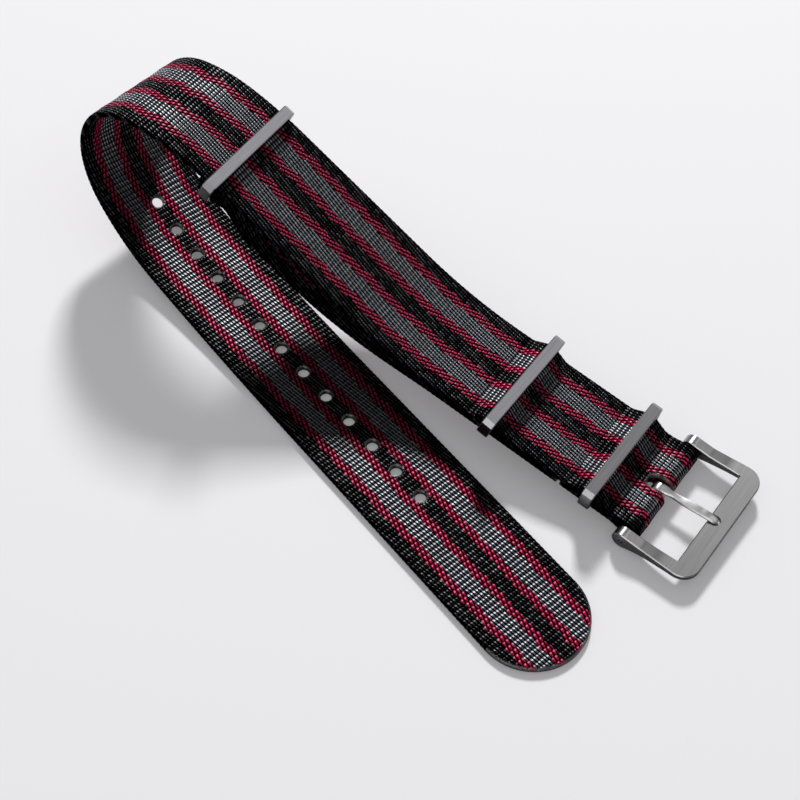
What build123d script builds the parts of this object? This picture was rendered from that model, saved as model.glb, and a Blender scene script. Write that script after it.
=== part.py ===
from build123d import *
import os
from math import ceil, cos, radians, sin, tan

# Woven nylon watch strap with a pin buckle and three steel rings, lying on its edge-to-edge loop.
# All sizes are millimetres. The strap runs from its round tip along the floor, curls over a raised
# loop and comes back down to the buckle. "along" is the distance from the tip on the middle line.
# The origin lies on the floor under the centre of the tip's half circle.

# Webbing
strap_width = 20.0
strap_thickness = 1.2
strap_length = 268.7
skew_angle = 7.3
layer_gap = 0.04

# Punched and heat-sealed size holes
hole_count = 13
hole_radius = 1.0
hole_pitch = 6.66
first_hole = 38.7

# The loop, as bends that follow one another from the floor: radius and turn in degrees
lift_radius = 480.0
lift_turn = 5.0
curl_in_radius = 31.5
curl_in_turn = 32.0
curl_radius = 13.2
curl_turn = 132.5
crown_radius = 25.7
crown_turn = 24.0
shoulder_radius = 53.5
shoulder_turn = 13.0
landing_radius = 65.5
end_slope = 7.6
facet_turn = 6.0
facet_length = 16.0

# Fold round the buckle bar and the welded pockets of the two keepers
floor_clearance = 0.02
bar_radius = 0.75
fold_gap = 0.15
flat_level = 0.7
fold_rise_turn = 14.0
fold_return_turn = 16.0
turn_radius = 2.2
ramp_turn = 34.0
weld_width = 0.45
weld_groove_depth = 0.25
crease_run = 0.45
keeper_spacing = 21.3
pocket_lead = 4.1
return_overlap = 1.6
butt_gap = 0.5

# Slot in the fold that lets the tongue reach the bar
slot_width = 2.6
slot_reach = 2.5

# Rings bent from flat steel band
band_width = 2.2
band_thickness = 0.95
band_edge_chamfer = 0.16
ring_side_gap = 0.55
ring_side_slide = 0.35
ring_corner_radius = 1.1
facet_run = 0.85
facet_drop = 0.7
keeper_inner_height = 3.15
pocket_clearance = 0.26
second_keeper_lean_angle = 8.0
end_ring_inner_height = 3.7
end_ring_facet_drop = 1.1
end_ring_gap = 0.5
end_ring_setback = 3.6
end_ring_clearance = 0.16
end_fold_tuck = 0.2
end_fold_overlap = 5.5
end_fold_rise_turn = 24.0

# Buckle
lug_radius = 1.8
lug_width = 2.1
lug_hole_radius = 0.42
side_clearance = 0.4
shoulder_reach = 3.7
shoulder_top = 1.2
shoulder_blend_radius = 5.0
belly_reach = 5.6
belly_bottom = -0.62
window_reach = 9.85
front_reach = 13.75
front_top = 0.95
front_bottom = -0.2
front_flare = 0.6
front_corner_radius = 3.2
frame_edge_chamfer = 0.16
pin_clearance = 0.02
pin_recess = 0.35

# Notch in the front bar that catches the tongue's end
notch_width = 2.1
notch_depth = 0.3
notch_length = 2.15

# Tongue, with its shares from the eye to the tip
tongue_bore_clearance = 0.05
tongue_ring_wall = 0.7
tongue_ring_width = 1.75
tongue_ring_chamfer = 0.3
tongue_tip_gap = 0.4
tongue_rest_gap = 0.08
tongue_width = 1.75
tongue_thickness = 0.95
tongue_root_level = 0.45
tongue_reach_shares = [0.0, 0.09, 0.2, 0.32, 0.46, 0.68, 0.88, 1.0]
tongue_rise_shares = [0.0, 0.0, 0.15, 0.52, 0.87, 1.05, 1.0, 0.66]
tongue_width_shares = [0.77, 0.7, 0.66, 0.82, 0.97, 1.0, 0.88, 0.7]
tongue_thickness_shares = [1.35, 1.18, 1.05, 1.0, 1.0, 1.0, 0.95, 0.32]

overrun = 6.0


def arc_length(radius, turn):
    """Length of an arc with this radius and turn in degrees."""
    return radius * radians(turn)


def climb(radius, start_turn, end_turn):
    """Height that an arc gains between two headings, both in degrees above the floor."""
    return radius * (cos(radians(start_turn)) - cos(radians(end_turn)))


# Fold and pocket sizes that follow from the webbing, the bar and the band
half_width = strap_width / 2
half_thickness = strap_thickness / 2
skew = radians(skew_angle)
fold_radius = bar_radius + fold_gap + half_thickness
under_level = flat_level - strap_thickness - layer_gap
under_top = under_level + half_thickness
fold_climb = fold_radius * cos(radians(fold_rise_turn)) - flat_level
fold_line = (fold_climb - turn_radius * (1 - cos(radians(fold_rise_turn)))) / sin(radians(fold_rise_turn))
fold_crease = -(
    (fold_radius + turn_radius) * sin(radians(fold_rise_turn)) + fold_line * cos(radians(fold_rise_turn))
)
return_climb = fold_radius * cos(radians(fold_return_turn)) + under_level
return_line = (return_climb - turn_radius * (1 - cos(radians(fold_return_turn)))) / sin(
    radians(fold_return_turn)
)
keeper_bar_level = under_top + pocket_clearance + band_thickness / 2
inner_turn_radius = turn_radius - half_thickness
corner_overhang = band_width / 2 - inner_turn_radius * sin(radians(ramp_turn))
corner_drop = inner_turn_radius * (1 - cos(radians(ramp_turn))) + corner_overhang * tan(radians(ramp_turn))
hump_level = keeper_bar_level + band_thickness / 2 + pocket_clearance + corner_drop + half_thickness
hump_climb = hump_level - flat_level
ramp_line = (hump_climb - 2 * turn_radius * (1 - cos(radians(ramp_turn)))) / sin(radians(ramp_turn))
hump_half = 2 * turn_radius * sin(radians(ramp_turn)) + ramp_line * cos(radians(ramp_turn))
first_keeper_reach = fold_crease - weld_width - crease_run - hump_half
second_keeper_reach = first_keeper_reach - keeper_spacing
return_end = first_keeper_reach - hump_half - return_overlap
short_start = return_end - butt_gap
end_run = (hump_half + pocket_lead - second_keeper_reach) * cos(skew)

# The side view of the strap's middle line
fold_outer_radius = fold_radius + half_thickness
edge_dip = half_width * sin(skew) * sin(radians(end_slope))
bar_height = fold_outer_radius + edge_dip + floor_clearance

bends = [
    (lift_radius, lift_turn),
    (curl_in_radius, curl_in_turn),
    (curl_radius, curl_turn),
    (crown_radius, crown_turn),
    (shoulder_radius, shoulder_turn),
]
headings = [sum(turn for _, turn in bends[:count]) for count in range(len(bends) + 1)]
descent_slope = headings[-1] - 180
landing_turn = descent_slope - end_slope
shoulder_height = half_thickness + sum(
    climb(radius, headings[place], headings[place + 1]) for place, (radius, _) in enumerate(bends)
)
landing_drop = landing_radius * (cos(radians(end_slope)) - cos(radians(descent_slope)))
end_drop = end_run * sin(radians(end_slope))
end_height = bar_height + flat_level * cos(radians(end_slope))
descent_run = (shoulder_height - landing_drop - end_drop - end_height) / sin(radians(descent_slope))
side_length = strap_length * cos(skew)
bend_lengths = [arc_length(radius, turn) for radius, turn in bends]
landing_length = arc_length(landing_radius, landing_turn)
flat_run = side_length - sum(bend_lengths) - descent_run - landing_length - end_run

tip_reach = half_width * cos(skew)
with BuildLine(Plane.XZ) as side_view:
    floor_line = Line((tip_reach, half_thickness), (tip_reach - flat_run, half_thickness))
    last = floor_line
    for radius, turn in bends:
        last = JernArc(last @ 1, last % 1, radius, -turn)
    descent = Line(last @ 1, last @ 1 + (last % 1) * descent_run)
    landing = JernArc(descent @ 1, descent % 1, landing_radius, landing_turn)
    end_line = Line(landing @ 1, landing @ 1 + (landing % 1) * end_run)
middle_line = side_view.wire()


def station(along, drop=0.0):
    """Plane square to the strap: x across it, y out of its outer face, z towards the buckle."""
    reach = along * cos(skew)
    point = middle_line.position_at(reach, position_mode=PositionMode.LENGTH)
    heading = middle_line.tangent_at(reach, position_mode=PositionMode.LENGTH)
    sideways = Vector(0, 1, 0)
    travel = heading * cos(skew) + sideways * sin(skew)
    across = sideways * cos(skew) - heading * sin(skew)
    outward = travel.cross(across)
    origin = point + sideways * ((along - half_width) * sin(skew)) - outward * drop
    return Plane(origin=origin, x_dir=across, z_dir=travel)


def marks_between(start, stop):
    """Distances from the tip, from the start to before the stop, closer together in the bends."""
    marks = [start]
    reached = 0.0
    turns = [0.0] + [turn for _, turn in bends] + [0.0, landing_turn, 0.0]
    lengths = [flat_run] + bend_lengths + [descent_run, landing_length, end_run]
    for length, turn in zip(lengths, turns):
        steps = max(ceil(turn / facet_turn), ceil(length / facet_length))
        for step in range(steps):
            mark = (reached + length * step / steps) / cos(skew)
            if start < mark < stop:
                marks.append(mark)
        reached += length
    return marks


# Places that the pieces share: the strap's straight end and the buckle bar in it
end_start = strap_length - end_run / cos(skew)
end_station = station(strap_length)
end_travel = end_station.z_dir
end_across = end_station.x_dir
end_outward = end_station.y_dir
bar_point = end_station.origin - end_outward * flat_level
end_side = Plane(origin=bar_point, x_dir=end_travel, z_dir=-end_across)


def along_end(reach, level=0.0):
    """Point on the strap's middle plane, from the bar towards the buckle and out of the strap."""
    return bar_point + end_travel * reach + end_outward * level


def end_plane(reach, level):
    """Plane square to the strap's straight end."""
    return Plane(origin=along_end(reach, level), x_dir=end_across, z_dir=end_travel)


def hump(start):
    """Side view of the webbing where it rises over a keeper's lower bar. Returns its end point."""
    rise = JernArc(start, (1, 0), turn_radius, ramp_turn)
    ramp_up = Line(rise @ 1, rise @ 1 + (rise % 1) * ramp_line)
    crest = JernArc(ramp_up @ 1, ramp_up % 1, turn_radius, -2 * ramp_turn)
    ramp_down = Line(crest @ 1, crest @ 1 + (crest % 1) * ramp_line)
    settle = JernArc(ramp_down @ 1, ramp_down % 1, turn_radius, ramp_turn)
    return settle @ 1


# Long strap: tip and holes on the floor, the loop, the two pockets and the fold round the bar
flat_end = (flat_run - half_width * sin(skew)) / cos(skew)
tip_station = station(half_width)
floor_plane = Plane(origin=(0, 0, 0), x_dir=tip_station.z_dir, z_dir=(0, 0, 1))
weld_reaches = [
    fold_crease - weld_width / 2,
    first_keeper_reach - hump_half - weld_width / 2,
    second_keeper_reach + hump_half + weld_width / 2,
    second_keeper_reach - hump_half - weld_width / 2,
]

with BuildPart() as long_strap:
    with BuildSketch(floor_plane):
        Circle(half_width)
        with Locations(((flat_end - half_width) / 2, 0)):
            Rectangle(flat_end - half_width, strap_width)
    extrude(amount=strap_thickness)
    loop_planes = [station(along) for along in marks_between(flat_end, end_start)]
    with BuildSketch(*loop_planes, end_plane(end_start - strap_length, flat_level)):
        Rectangle(strap_width, strap_thickness)
    loft(ruled=True)
    with BuildSketch(end_side):
        with BuildLine():
            pocket_start = (second_keeper_reach - hump_half, flat_level)
            lead_in = Line((end_start - strap_length, flat_level), pocket_start)
            after_second = hump(lead_in @ 1)
            between = Line(after_second, (first_keeper_reach - hump_half, flat_level))
            after_first = hump(between @ 1)
            crease = Line(after_first, (fold_crease, flat_level))
            fold_rise = JernArc(crease @ 1, (1, 0), turn_radius, fold_rise_turn)
            fold_over = Line(fold_rise @ 1, fold_rise @ 1 + (fold_rise % 1) * fold_line)
            fold_turn = 180 + fold_rise_turn + fold_return_turn
            fold = JernArc(fold_over @ 1, fold_over % 1, fold_radius, -fold_turn)
            fold_under = Line(fold @ 1, fold @ 1 + (fold % 1) * return_line)
            settle = JernArc(fold_under @ 1, fold_under % 1, turn_radius, fold_return_turn)
            Line(settle @ 1, (return_end, under_level))
        trace(line_width=strap_thickness)
    extrude(amount=half_width, both=True)
    with BuildSketch(Plane(origin=bar_point, x_dir=end_travel, z_dir=end_outward)):
        with Locations((slot_width / 2 - slot_reach, 0)):
            Circle(slot_width / 2)
            with Locations((overrun / 2, 0)):
                Rectangle(overrun, slot_width)
    extrude(amount=overrun, both=True, mode=Mode.SUBTRACT)
    with BuildSketch(end_side):
        for reach in weld_reaches:
            with Locations((reach, flat_level + half_thickness)):
                Rectangle(weld_width, 2 * weld_groove_depth)
    extrude(amount=half_width + overrun, both=True, mode=Mode.SUBTRACT)
    with BuildSketch(end_side):
        for reach in weld_reaches[:2]:
            with Locations((reach, (flat_level + under_level) / 2)):
                Rectangle(weld_width, 2 * weld_groove_depth)
    extrude(amount=half_width, both=True)
    hole_planes = []
    for number in range(hole_count):
        place = station(first_hole + number * hole_pitch)
        hole_planes.append(Plane(origin=place.origin, x_dir=place.x_dir, z_dir=place.y_dir))
    with BuildSketch(*hole_planes):
        Circle(hole_radius)
    extrude(amount=strap_thickness, both=True, mode=Mode.SUBTRACT)
long_strap.part.label = "long_strap"

# Short strap: welded under the long one, it ends in a fold that carries the end ring
ring_station = (flat_run + sum(bend_lengths)) / cos(skew)
ring_frame = station(ring_station)
ring_travel = ring_frame.z_dir
ring_across = ring_frame.x_dir
ring_outward = ring_frame.y_dir
ring_side = Plane(origin=ring_frame.origin, x_dir=ring_travel, z_dir=-ring_across)
carry_level = -(strap_thickness + end_ring_gap)
end_bar_level = carry_level - half_thickness - end_ring_clearance - band_thickness / 2
end_fold_radius = carry_level - end_bar_level
end_fold_centre = -end_ring_setback - band_width / 2 + end_fold_tuck
end_return_level = carry_level - strap_thickness - layer_gap
end_return_climb = end_return_level - (end_bar_level - end_fold_radius)
end_rise_line = (
    end_return_climb - 2 * turn_radius * (1 - cos(radians(end_fold_rise_turn)))
) / sin(radians(end_fold_rise_turn))
end_rise_start = -end_ring_setback + band_width / 2 - end_fold_tuck
short_end = end_fold_overlap + end_ring_setback


def carried_drop(along):
    """How far the short strap hangs below the long one, from the second keeper to the end ring."""
    share = (end_start - along) / (end_start - ring_station - short_end)
    return strap_thickness + layer_gap + (end_ring_gap - layer_gap) * share


with BuildPart() as short_strap:
    with BuildSketch(end_side):
        with Locations(((end_start - strap_length + short_start) / 2, under_level)):
            Rectangle(short_start - end_start + strap_length, strap_thickness)
    extrude(amount=half_width, both=True)
    ring_end_plane = Plane(
        origin=ring_frame.origin + ring_travel * short_end + ring_outward * carry_level,
        x_dir=ring_across,
        z_dir=ring_travel,
    )
    carried_marks = marks_between(ring_station + short_end, end_start)[1:]
    carried_planes = [station(along, carried_drop(along)) for along in carried_marks]
    with BuildSketch(ring_end_plane, *carried_planes, end_plane(end_start - strap_length, under_level)):
        Rectangle(strap_width, strap_thickness)
    loft(ruled=True)
    with BuildSketch(ring_side):
        with BuildLine():
            carry = Line((short_end, carry_level), (end_fold_centre, carry_level))
            end_fold = JernArc(carry @ 1, carry % 1, end_fold_radius, 180)
            under = Line(end_fold @ 1, (end_rise_start, end_bar_level - end_fold_radius))
            lift_off = JernArc(under @ 1, under % 1, turn_radius, end_fold_rise_turn)
            rise_on = Line(lift_off @ 1, lift_off @ 1 + (lift_off % 1) * end_rise_line)
            level_out = JernArc(rise_on @ 1, rise_on % 1, turn_radius, -end_fold_rise_turn)
            Line(level_out @ 1, (short_end - weld_width, end_return_level))
        trace(line_width=strap_thickness)
        with Locations((short_end - 2 * weld_width, (carry_level + end_return_level) / 2)):
            Rectangle(weld_width, 2 * weld_groove_depth)
    extrude(amount=half_width, both=True)
short_strap.part.label = "short_strap"


def bent_ring(plane, inner_height, drop):
    """Closed ring of flat band, round at its lower corners and faceted at its upper ones."""
    height = inner_height + 2 * band_thickness
    half_length = half_width + ring_side_gap + band_thickness
    low = -band_thickness / 2
    high = low + height
    with BuildPart() as ring:
        with BuildSketch(plane):
            with BuildLine():
                Polyline(
                    (-half_length, low),
                    (half_length, low),
                    (half_length, high - drop),
                    (half_length - facet_run, high),
                    (-half_length + facet_run, high),
                    (-half_length, high - drop),
                    close=True,
                )
            make_face()
            offset(amount=-band_thickness, kind=Kind.INTERSECTION, mode=Mode.SUBTRACT)
        extrude(amount=band_width / 2, both=True)
        upright = ring.edges().filter_by(Axis((0, 0, 0), plane.z_dir))
        lower = upright.filter_by(lambda edge: plane.to_local_coords(edge.center()).Y < low + band_edge_chamfer)
        fillet(lower, radius=ring_corner_radius)
        ends = ring.faces().filter_by(Plane(origin=(0, 0, 0), z_dir=plane.z_dir))
        chamfer(ends.edges(), length=band_edge_chamfer)
    return ring.part


keeper_slide = end_across * ring_side_slide
first_keeper_plane = Plane(
    origin=along_end(first_keeper_reach, keeper_bar_level) - keeper_slide, x_dir=end_across, z_dir=end_travel
)
across_axis = Axis((0, 0, 0), end_across)
second_keeper_plane = Plane(
    origin=along_end(second_keeper_reach, keeper_bar_level) - keeper_slide,
    x_dir=end_across,
    z_dir=end_travel.rotate(across_axis, second_keeper_lean_angle),
)
along_ring = ring_frame.origin - ring_travel * end_ring_setback + ring_outward * end_bar_level
end_ring_plane = Plane(
    origin=along_ring - ring_across * ring_side_slide,
    x_dir=ring_across,
    z_dir=ring_travel,
)

first_keeper = bent_ring(first_keeper_plane, keeper_inner_height, facet_drop)
first_keeper.label = "first_keeper"
second_keeper = bent_ring(second_keeper_plane, keeper_inner_height, facet_drop)
second_keeper.label = "second_keeper"
end_ring = bent_ring(end_ring_plane, end_ring_inner_height, end_ring_facet_drop)
end_ring.label = "end_ring"

# Buckle frame: a flat bar bent to a window, its arms thicker towards the two lugs
inner_half = half_width + side_clearance
outer_half = inner_half + lug_width
buckle_side = Plane(
    origin=bar_point, x_dir=end_travel.rotate(across_axis, -end_slope), z_dir=-end_across
)
buckle_forward = buckle_side.x_dir
buckle_up = buckle_side.y_dir
buckle_top = Plane(origin=bar_point, x_dir=buckle_forward, z_dir=buckle_up)
notch_floor = front_top - notch_depth

with BuildPart() as buckle_frame:
    with BuildSketch(buckle_side):
        with BuildLine():
            upper = FilletPolyline(
                (0, lug_radius),
                (shoulder_reach, shoulder_top),
                (front_reach, front_top),
                radius=shoulder_blend_radius,
            )
            nose = Line(upper @ 1, (front_reach, front_bottom))
            belly = ThreePointArc(nose @ 1, (belly_reach, belly_bottom), (0, -lug_radius))
            Line(belly @ 1, upper @ 0)
        make_face()
        Circle(lug_radius)
    extrude(amount=outer_half + front_flare, both=True)
    with BuildSketch(buckle_top) as plan:
        with BuildLine():
            Polyline(
                (-lug_radius, -outer_half),
                (shoulder_reach, -outer_half),
                (front_reach, -outer_half - front_flare),
                (front_reach, outer_half + front_flare),
                (shoulder_reach, outer_half),
                (-lug_radius, outer_half),
                close=True,
            )
        make_face()
        fillet(plan.vertices().group_by(Axis.X)[-1], radius=front_corner_radius)
        with Locations(((window_reach - lug_radius - overrun) / 2, 0)):
            Rectangle(window_reach + lug_radius + overrun, 2 * inner_half, mode=Mode.SUBTRACT)
    extrude(amount=lug_radius, both=True, mode=Mode.INTERSECT)
    chamfer(buckle_frame.edges(), length=frame_edge_chamfer)
    notch_plane = Plane(origin=bar_point + buckle_up * notch_floor, x_dir=buckle_forward, z_dir=buckle_up)
    with BuildSketch(notch_plane):
        with Locations((window_reach + notch_length - notch_width / 2, 0)):
            Circle(notch_width / 2)
            Rectangle(2 * notch_length, notch_width, align=(Align.MAX, Align.CENTER))
    extrude(amount=overrun, mode=Mode.SUBTRACT)
    with BuildSketch(buckle_side):
        Circle(lug_hole_radius + pin_clearance)
    extrude(amount=outer_half + overrun, both=True, mode=Mode.SUBTRACT)
buckle_frame.part.label = "buckle_frame"

with BuildPart() as buckle_bar:
    with BuildSketch(buckle_side):
        Circle(bar_radius)
    extrude(amount=inner_half - pin_clearance, both=True)
    with BuildSketch(buckle_side):
        Circle(lug_hole_radius)
    extrude(amount=outer_half - pin_recess, both=True)
buckle_bar.part.label = "buckle_bar"

# Tongue: an eye round the bar, a thin neck and a blade whose end drops into the front bar's notch
eye_bore_radius = bar_radius + tongue_bore_clearance
eye_radius = eye_bore_radius + tongue_ring_wall
root_reach = eye_bore_radius + tongue_ring_wall / 2
tip_reach_from_bar = window_reach + notch_length - tongue_tip_gap
blade_level = notch_floor + tongue_rest_gap + tongue_thickness / 2

with BuildPart() as buckle_tongue:
    with BuildSketch(buckle_side):
        Circle(eye_radius)
        Circle(eye_bore_radius, mode=Mode.SUBTRACT)
    extrude(amount=tongue_ring_width / 2, both=True)
    rims = buckle_tongue.edges().filter_by(GeomType.CIRCLE).sort_by(SortBy.RADIUS)[-2:]
    chamfer(rims, length=tongue_ring_chamfer)
    tongue_shares = zip(tongue_reach_shares, tongue_rise_shares, tongue_width_shares, tongue_thickness_shares)
    for reach_share, rise_share, width_share, thickness_share in tongue_shares:
        reach = root_reach + (tip_reach_from_bar - root_reach) * reach_share
        level = tongue_root_level + (blade_level - tongue_root_level) * rise_share
        section_centre = bar_point + buckle_forward * reach + buckle_up * level
        with BuildSketch(Plane(origin=section_centre, x_dir=buckle_side.z_dir, z_dir=buckle_forward)):
            Ellipse(tongue_width * width_share / 2, tongue_thickness * thickness_share / 2)
    loft(ruled=True)
buckle_tongue.part.label = "buckle_tongue"

os.makedirs("parts", exist_ok=True)
pieces = [
    long_strap.part,
    short_strap.part,
    buckle_frame.part,
    buckle_bar.part,
    buckle_tongue.part,
    first_keeper,
    second_keeper,
    end_ring,
]
for piece in pieces:
    export_step(piece, f"parts/{piece.label}.step")


def place_text(vector):
    """A point in millimetres or a direction, for printing."""
    return ", ".join(f"{value:.6f}" for value in vector)


print("across axis:", place_text(end_across))
print("buckle bar (mm):", place_text(bar_point))
print("first keeper (mm):", place_text(first_keeper_plane.origin))
print("second keeper (mm):", place_text(second_keeper_plane.origin))
print("end ring axis:", place_text(ring_across))
print("end ring (mm):", place_text(end_ring_plane.origin))
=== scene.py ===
# %% [markdown]
# A woven nylon watch strap lies on a pale table: 20 mm wide webbing, curled into a loop, with a pin
# buckle, two keeper rings and an end ring of brushed steel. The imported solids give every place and
# size. Most steel pieces keep their solids and get a finish. The two straps are woven again here as
# fine meshes, because a cloth surface needs ribs, melted rims and yarns that a plain solid has not.

import bpy
import numpy as np
from mathutils import Matrix, Vector


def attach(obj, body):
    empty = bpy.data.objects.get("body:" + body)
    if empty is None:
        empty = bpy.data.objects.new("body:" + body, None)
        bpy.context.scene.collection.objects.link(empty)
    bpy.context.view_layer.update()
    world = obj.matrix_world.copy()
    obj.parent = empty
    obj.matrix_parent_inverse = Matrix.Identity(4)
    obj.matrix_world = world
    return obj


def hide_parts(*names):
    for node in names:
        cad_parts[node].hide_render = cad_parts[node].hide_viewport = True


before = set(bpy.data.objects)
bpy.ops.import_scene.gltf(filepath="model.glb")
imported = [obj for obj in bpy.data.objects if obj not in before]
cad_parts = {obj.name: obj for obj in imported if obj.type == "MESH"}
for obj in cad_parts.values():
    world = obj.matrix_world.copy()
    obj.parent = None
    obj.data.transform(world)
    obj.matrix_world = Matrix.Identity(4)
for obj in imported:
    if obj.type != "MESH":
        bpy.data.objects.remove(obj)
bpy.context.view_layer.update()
scene = bpy.context.scene
MM = 0.001
print("packed nodes:", ", ".join(sorted(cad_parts)))

# %% [markdown]
# Two helpers serve every material. Colours are picked as sRGB hex values, the way a screen shows
# them, but Blender mixes light in linear values, so one function converts them. The other adds a
# node with its settings and links, which keeps a node tree readable from top to bottom.

# %% Colours and nodes


def linear(code):
    """RGBA in linear values from an sRGB hex code."""
    parts = [int(code[place : place + 2], 16) / 255 for place in (1, 3, 5)]
    return (*[p / 12.92 if p <= 0.04045 else ((p + 0.055) / 1.055) ** 2.4 for p in parts], 1.0)


def add_node(tree, kind, inputs=None, **settings):
    """Adds a node. An input is a plain value, a socket, or a node, which gives its first output."""
    node = tree.nodes.new(kind)
    for name, value in settings.items():
        setattr(node, name, value)
    for place, given in (inputs or {}).items():
        source = given.outputs[0] if isinstance(given, bpy.types.Node) else given
        if isinstance(source, bpy.types.NodeSocket):
            tree.links.new(source, node.inputs[place])
        else:
            node.inputs[place].default_value = source
    return node


def new_material(name):
    """An empty node material and its tree."""
    material = bpy.data.materials.new(name)
    material.use_nodes = True
    material.node_tree.nodes.clear()
    return material, material.node_tree


print("mid grey 808080 in linear:", round(linear("#808080")[0], 3))

# %% [markdown]
# The strap's side view is a chain of straight runs and round bends: flat on the table, a slow lift,
# a tight curl, a crown, and a straight way down to the buckle. A curve object could hold it, but
# every thread needs its own place along and across the strap, so the chain is worked out as plain
# numbers, the same ones that the solids were built from, in millimetres.

# %% The strap's sizes, in millimetres
HALF_WIDTH = 10.0
THICKNESS = 1.2
HALF = THICKNESS / 2
STRAP_LENGTH = 268.7
LAYER_GAP = 0.04

# The loop, with each bend as a radius and a turn in degrees
SKEW = np.radians(7.3)
BENDS = [(480.0, 5.0), (31.5, 32.0), (13.2, 132.5), (25.7, 24.0), (53.5, 13.0)]
LANDING_RADIUS = 65.5
END_SLOPE = 7.6

# Round the buckle bar and over the keepers' lower bars
BAR_RADIUS, FOLD_GAP, FLAT_LEVEL, FLOOR_CLEARANCE = 0.75, 0.15, 0.7, 0.02
FOLD_RISE, FOLD_RETURN, TURN_RADIUS, RAMP = 14.0, 16.0, 2.2, 34.0
WELD_WIDTH, WELD_DEPTH = 0.45, 0.25
CREASE_RUN, KEEPER_SPACING, POCKET_LEAD, RETURN_OVERLAP, BUTT_GAP = 0.45, 21.3, 4.1, 1.6, 0.5
BAND_WIDTH, BAND_THICKNESS, POCKET_CLEARANCE = 2.2, 0.95, 0.26

# The tongue's slot and the size holes
SLOT_RADIUS, SLOT_REACH = 1.3, 2.5
FIRST_HOLE, HOLE_PITCH, HOLE_COUNT, HOLE_RADIUS = 38.7, 6.66, 13, 1.0

# Round the end ring's lower bar
RING_GAP, RING_SETBACK, RING_CLEARANCE = 0.5, 3.6, 0.16
RING_TUCK, RING_OVERLAP, RING_RISE = 0.2, 5.5, 24.0

# How far the second layer hangs down, and where that begins, grows, starts to fade and ends
SAG, SAG_START, SAG_ONSET, SAG_FULL, SAG_END = 5.3, 2.4, 7.0, 20.0, 52.0
print("webbing:", 2 * HALF_WIDTH, "x", THICKNESS, "mm, side view skewed by", round(np.degrees(SKEW), 1))

# %% [markdown]
# A run has a length, and a bend has a radius and a turn. Laid end to end they give a line of points
# with a heading at each. A Blender curve could be sampled instead, but a thread is found by its
# exact distance along the webbing, and this line keeps that distance beside every point.

# %% A chain of runs and bends


def chain(start, heading, moves, step=0.02):
    """Points, headings (degrees) and lengths along runs (length,) and bends (radius, turn)."""
    points, angles, lengths = [np.array([start])], [np.array([heading])], [np.array([0.0])]
    for move in moves:
        length = move[0] if len(move) == 1 else move[0] * abs(np.radians(move[1]))
        count = max(2, int(length / step))
        share = np.arange(1, count + 1) / count
        turn = 0.0 if len(move) == 1 else move[1]
        angle = angles[-1][-1] + turn * share
        halfway = np.radians(angle - turn / count / 2)
        hops = np.stack([np.cos(halfway), np.sin(halfway)], 1) * (length / count)
        points.append(points[-1][-1] + np.cumsum(hops, 0))
        angles.append(angle)
        lengths.append(lengths[-1][-1] + length * share)
    return np.concatenate(points), np.concatenate(angles), np.concatenate(lengths)


def on_chain(line, at):
    """Place and left-hand normal on a chain at these lengths. Both are (horizontal, upright)."""
    points, angles, lengths = line
    place = np.stack([np.interp(at, lengths, points[:, axis]) for axis in (0, 1)], -1)
    angle = np.radians(np.interp(at, lengths, angles))
    return place, np.stack([-np.sin(angle), np.cos(angle)], -1)


half_turn = chain((0.0, 0.0), 0.0, [(BAR_RADIUS, 180.0)])
print("half way round the buckle bar is", round(half_turn[2][-1], 3), "mm")

# %% [markdown]
# Near the buckle the strap makes its hardest shape: it rises over two keeper bars, folds round the
# buckle bar and comes back underneath. The heights and slopes there could be set by eye. They are
# worked out instead from what lies between the layers, which is bar, clearance and webbing, so the
# cloth stays clear of the steel when a size changes.

# %% The pockets and the fold, seen from the buckle bar
fold_radius = BAR_RADIUS + FOLD_GAP + HALF
under_level = FLAT_LEVEL - THICKNESS - LAYER_GAP
rise, back, ramp = np.radians(FOLD_RISE), np.radians(FOLD_RETURN), np.radians(RAMP)
fold_line = (fold_radius * np.cos(rise) - FLAT_LEVEL - TURN_RADIUS * (1 - np.cos(rise))) / np.sin(rise)
fold_crease = -((fold_radius + TURN_RADIUS) * np.sin(rise) + fold_line * np.cos(rise))
return_line = (fold_radius * np.cos(back) + under_level - TURN_RADIUS * (1 - np.cos(back))) / np.sin(back)

inner_turn = TURN_RADIUS - HALF
overhang = BAND_WIDTH / 2 - inner_turn * np.sin(ramp)
corner_drop = inner_turn * (1 - np.cos(ramp)) + overhang * np.tan(ramp)
bar_level = under_level + HALF + POCKET_CLEARANCE + BAND_THICKNESS / 2
hump_climb = bar_level + BAND_THICKNESS / 2 + POCKET_CLEARANCE + corner_drop + HALF - FLAT_LEVEL
ramp_line = (hump_climb - 2 * TURN_RADIUS * (1 - np.cos(ramp))) / np.sin(ramp)
hump_half = 2 * TURN_RADIUS * np.sin(ramp) + ramp_line * np.cos(ramp)

first_keeper = fold_crease - WELD_WIDTH - CREASE_RUN - hump_half
second_keeper = first_keeper - KEEPER_SPACING
return_end = first_keeper - hump_half - RETURN_OVERLAP
end_run = (hump_half + POCKET_LEAD - second_keeper) * np.cos(SKEW)
print("the keepers sit", round(-first_keeper, 2), "and", round(-second_keeper, 2), "mm behind the bar")

# %% [markdown]
# The side view starts at the tip and ends at the buckle. Two of its runs have no size of their own:
# the flat run is what is left of the strap's length, and the straight way down is what brings the
# buckle end to the table. Worked out here, they keep the length and the landing true.

# %% The side view as one chain
LEAD, SPARE_RUN = 1.0, 1.0

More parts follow.
